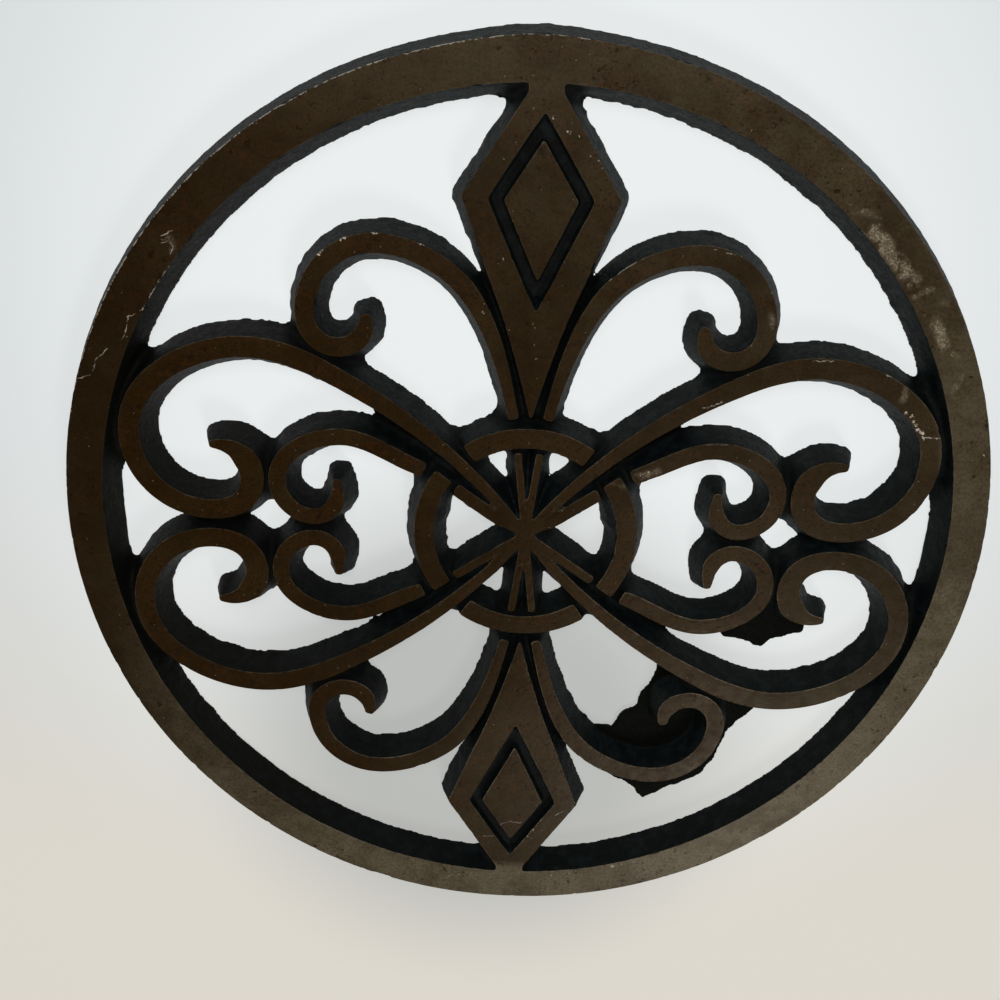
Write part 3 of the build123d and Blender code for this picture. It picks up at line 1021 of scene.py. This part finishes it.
def painted_low_shade(nodes, place):
    """How much painted shade the surface gets for lying deep in a groove, or flat on a web at the back."""
    facing = nodes.add("ShaderNodeNewGeometry").outputs["Normal"]
    upward = nodes.along(facing, UP, *web_facing)
    near_back = nodes.along(place, UP, *web_height)
    return nodes.most(nodes.attribute("groove"), nodes.times(upward, near_back))


def blacking(nodes, place, noise, low):
    """Dull black, mottled, with a little dust in the grain, and painted shade on the left, in grooves and on
    low webs.
    """
    wall = nodes.mix(nodes.ramp(noise["middle"], *wall_mottle), black, black_light)
    wall = nodes.mix(nodes.ramp(noise["sand"], *wall_grain), wall, black)
    wall = nodes.mix(nodes.ramp(noise["grit"], *wall_dust), wall, dust)
    # Painted shade on the walls, to the left and in low parts
    wall = nodes.mix(nodes.along(place, RIGHT, *left_wall_shade), wall, painted_shade_black)
    return nodes.mix(nodes.times(low, low_shade_strength), wall, painted_shade_black)


def worn_and_highlit_edges(nodes, place, noise, edge, colour):
    """A colour with the faces' edges worn in patches and given a painted highlight where they face the key
    lamp and towards the lower right, and rubbed bright along some runs.
    """
    wear_and_highlight_share = nodes.times(
        nodes.ramp(nodes.plus(edge, noise["fine"], edge_line_share), *edge_line),
        nodes.ramp(noise["broad"], *edge_patches),
        nodes.ramp(noise["speck"], *edge_gaps),
        nodes.along(place, sheen_direction, *edge_toward_sheen),
        nodes.ramp(nodes.attribute("edge_lit"), *edge_light),
    )
    colour = nodes.mix(wear_and_highlight_share, colour, worn_and_highlit_edge)
    rub = nodes.times(nodes.attribute("rub"), nodes.ramp(noise["speck"], *rub_gaps))
    return nodes.mix(nodes.ramp(rub, *rub_limits), colour, rubbed_edge)


def scuffed_share(nodes, noise):
    """How much bare metal the scuffs show."""
    scuff = nodes.attribute("scuff")
    blotch = nodes.plus(noise["blotch"], scuff, blotch_scuff_share)
    rubbed = nodes.times(nodes.ramp(scuff, *scuff_limits), nodes.ramp(blotch, *blotch_limits))
    fleck = nodes.plus(noise["fleck"], rubbed, fleck_scuff_share)
    flecks = nodes.times(nodes.ramp(fleck, *fleck_limits), nodes.ramp(rubbed, *fleck_start))
    return nodes.math("ADD", flecks, nodes.times(rubbed, scuff_haze), clamp=True)


def scratched_share(nodes, noise):
    """How much bare metal the scratches show: wandering lines, broken where they are faint."""
    astray = nodes.times(nodes.math("SUBTRACT", noise["speck"], noise_middle), scratch_wander)
    side = nodes.math("ABSOLUTE", nodes.plus(nodes.attribute("scratch_side"), astray))
    scratch = nodes.attribute("scratch")
    faintness = nodes.math("SUBTRACT", scratch, 1.0)
    broken = nodes.math("ADD", nodes.ramp(noise["middle"], *scratch_gaps), faintness, clamp=True)
    core = nodes.times(scratch, scratch_core)
    width = nodes.plus(nodes.times(scratch, scratch_width), scratch_least_width)
    return nodes.times(nodes.ramp(side, core, width, *scratch_brightness), broken)


def chipped_share(nodes, place, bare):
    """Bare metal with the chips added, torn out of round."""
    torn_place = nodes.wandering(place, chip_tear_wavelength, chip_tear)
    for x, y, size in chips:
        centre = (x * METRES, y * METRES, thickness * METRES)
        brightness = min(chip_most_brightness, chip_least_brightness + chip_brightness_gain * size)
        dot = nodes.away(torn_place, centre, chip_core * size * METRES, size * METRES, brightness, 0.0)
        bare = nodes.most(bare, dot)
    return bare


def fine_relief(nodes, noise, on_face, spotted, torn):
    """The surface's normal with sand grain on the walls, and pits and torn marks on the faces."""
    wall_relief = nodes.times(noise["sand"], nodes.math("SUBTRACT", 1.0, on_face))
    pits = nodes.times(spotted, -pit_depth)
    face_relief = nodes.plus(nodes.times(noise["sand"], face_sand), pits)
    relief = nodes.plus(wall_relief, nodes.times(face_relief, on_face))
    relief = nodes.plus(relief, nodes.times(torn, noise["fine"], torn_relief))
    sockets = {"Strength": relief_strength, "Distance": relief_depth * METRES, "Height": relief}
    return nodes.add("ShaderNodeBump", sockets).outputs["Normal"]


def bronzed_casting():
    """Brown lacquer on the faces, black below their edges, wear where metal shows, and painted sheen, shade
    and edge highlights.
    """
    material, nodes = new_material(CASTING_SLOT)
    place = nodes.add("ShaderNodeTexCoord").outputs["Object"]
    noise = {name: nodes.noise(place, *values) for name, values in coat_noises.items()}

    # Where the face is: its own quads, and here and there a hair's breadth below its edge
    edge = nodes.attribute("edge")
    over_edge = nodes.ramp(nodes.plus(edge, noise["middle"], edge_spill_share), *edge_spill)
    on_face = nodes.most(nodes.attribute("face"), over_edge)

    low = painted_low_shade(nodes, place)
    patches = nodes.ramp(noise["cluster"], *rust_patches)
    spotted = nodes.ramp(nodes.plus(noise["spots"], patches, spot_patch_share), *spot_limits)
    face = lacquer(nodes, place, noise, patches, spotted)
    colour = nodes.mix(on_face, blacking(nodes, place, noise, low), face)
    colour = worn_and_highlit_edges(nodes, place, noise, edge, colour)
    specks = nodes.times(nodes.specks(place, *pale_specks), on_face, speck_strength)
    colour = nodes.mix(specks, colour, scuffed_metal)
    scuffed = scuffed_share(nodes, noise)
    colour = nodes.mix(scuffed, colour, scuffed_metal)
    bare = chipped_share(nodes, place, scratched_share(nodes, noise))
    colour = nodes.mix(bare, colour, bare_metal)

    on_walls = nodes.plus(nodes.ramp(noise["fine"], *wall_roughness), low, low_roughness_share)
    roughness = nodes.blend(on_face, on_walls, nodes.ramp(noise["middle"], *face_roughness))
    torn = nodes.most(bare, scuffed)
    sockets = {
        "Base Color": colour,
        "Roughness": roughness,
        "Normal": fine_relief(nodes, noise, on_face, spotted, torn),
        "Specular IOR Level": specular_level,
        "Specular Tint": sheen_tint,
    }
    nodes.finish(nodes.add("ShaderNodeBsdfPrincipled", sockets))
    return material


casting_material = bronzed_casting()
for index in range(len(members)):
    make_piece(index, casting_material)

# Stage: a pale floor that the trivet lies on, soft light and the photograph's camera, all in metres
floor_radius = 1.6
floor_drop = 0.0002
backdrop_bend = 0.8
backdrop_height = 2.4
backdrop_sides = 96
bend_steps = 16
floor_far = (0.67, 0.705, 0.71, 1)
floor_near = (0.81, 0.77, 0.69, 1)
far_limits = (-0.12, 0.05)
# Painted pool of light on the floor round the middle
painted_floor_light = (0.92, 0.955, 0.955, 1)
painted_light_middle = (0.0, 0.04, 0.0)
painted_light_limits = (0.055, 0.17, 1.0, 0.0)
# Painted shadow on the floor under the trivet's lower half
painted_floor_shadow = (0.52, 0.53, 0.51, 1)
painted_shadow_middle = (-0.008, -0.058, 0.0)
painted_shadow_limits = (0.03, 0.085, 0.9, 0.0)
floor_glow = 0.72
sky_colour = (0.95, 0.98, 1.0, 1)
sky_strength = 0.06

# Lamps face the origin: place, size and power
lamps = {
    "window": ((0.27, -0.64, 0.68), 0.25, 3.0),
    "key": ((-0.05, 0.32, 0.62), 0.3, 2.2),
}

# The camera: where it stands, the point of the face that it looks at, and how it leans
camera_place = Vector((-0.00577, 0.09169, 0.21774))
camera_target = Vector((-0.00578, 0.00808, 0.00700))
camera_roll = math.radians(2.05)
camera_clip = 0.01
focal_length_pixels = 1051.1
image_pixels = 1000
sensor_width = 36.0


def pale_floor():
    """A matt floor, cool at the top of the view and warmer towards the bottom, with a painted pool of light
    round the middle and a painted shadow under the trivet's lower half.
    """
    material, nodes = new_material("pale_floor")
    place = nodes.add("ShaderNodeTexCoord").outputs["Object"]
    tone = nodes.mix(nodes.along(place, FAR, *far_limits), floor_near, floor_far)
    tone = nodes.mix(nodes.away(place, painted_light_middle, *painted_light_limits), tone, painted_floor_light)
    tone = nodes.mix(nodes.away(place, painted_shadow_middle, *painted_shadow_limits), tone, painted_floor_shadow)
    matt = nodes.add("ShaderNodeBsdfDiffuse", {"Color": tone})
    glow = nodes.add("ShaderNodeEmission", {"Color": tone})
    path = nodes.add("ShaderNodeLightPath")
    seen = nodes.most(path.outputs["Is Camera Ray"], path.outputs["Is Glossy Ray"])
    seen = nodes.most(seen, path.outputs["Is Transmission Ray"])
    sockets = {0: nodes.times(seen, floor_glow), 1: matt.outputs[0], 2: glow.outputs[0]}
    nodes.finish(nodes.add("ShaderNodeMixShader", sockets))
    return material


def make_floor():
    """A round floor that bends up into a backdrop all round."""
    bends = math.radians(90) * np.arange(bend_steps + 1) / bend_steps
    radii = [*(floor_radius + backdrop_bend * np.sin(bends)), floor_radius + backdrop_bend]
    heights = [*(backdrop_bend * (1 - np.cos(bends))), backdrop_height]
    turns = 2 * math.pi * np.arange(backdrop_sides) / backdrop_sides
    points, faces = [], [list(range(backdrop_sides))]
    for radius, height in zip(radii, heights):
        points += [(radius * math.cos(turn), radius * math.sin(turn), height - floor_drop) for turn in turns]
    for a in range(len(points) - backdrop_sides):
        b = a + 1 if (a + 1) % backdrop_sides else a + 1 - backdrop_sides
        faces.append((a, a + backdrop_sides, b + backdrop_sides, b))
    mesh = bpy.data.meshes.new("floor")
    mesh.from_pydata(points, [], faces)
    mesh.polygons.foreach_set("use_smooth", [True] * len(faces))
    mesh.materials.append(pale_floor())
    new_object("floor", mesh)


def soft_lamp(name, place, size, power):
    """A large square lamp that faces the origin."""
    data = bpy.data.lights.new(name, "AREA")
    data.size = size
    data.energy = power
    lamp = new_object(name, data)
    lamp.location = place
    lamp.rotation_euler = (-Vector(place)).to_track_quat("-Z", "Y").to_euler()


def sky():
    """Even light from all round."""
    world = bpy.data.worlds.new("studio")
    world.use_nodes = True
    nodes = Nodes(world.node_tree)
    sockets = {"Color": sky_colour, "Strength": sky_strength}
    nodes.finish(nodes.add("ShaderNodeBackground", sockets), "World")
    scene.world = world


def photo_camera():
    """The photograph's camera."""
    data = bpy.data.cameras.new("camera")
    data.sensor_width = sensor_width
    data.lens = sensor_width * focal_length_pixels / image_pixels
    data.clip_start = camera_clip
    camera = new_object("camera", data)
    forward = (camera_target - camera_place).normalized()
    right = forward.cross(Vector((-math.sin(camera_roll), math.cos(camera_roll), 0))).normalized()
    up = right.cross(forward)
    turn = Matrix((right, up, -forward)).transposed()
    camera.matrix_world = Matrix.Translation(camera_place) @ turn.to_4x4()
    scene.camera = camera


make_floor()
sky()
for name, (place, size, power) in lamps.items():
    soft_lamp(name, place, size, power)
photo_camera()
scene.view_settings.view_transform = "Standard"
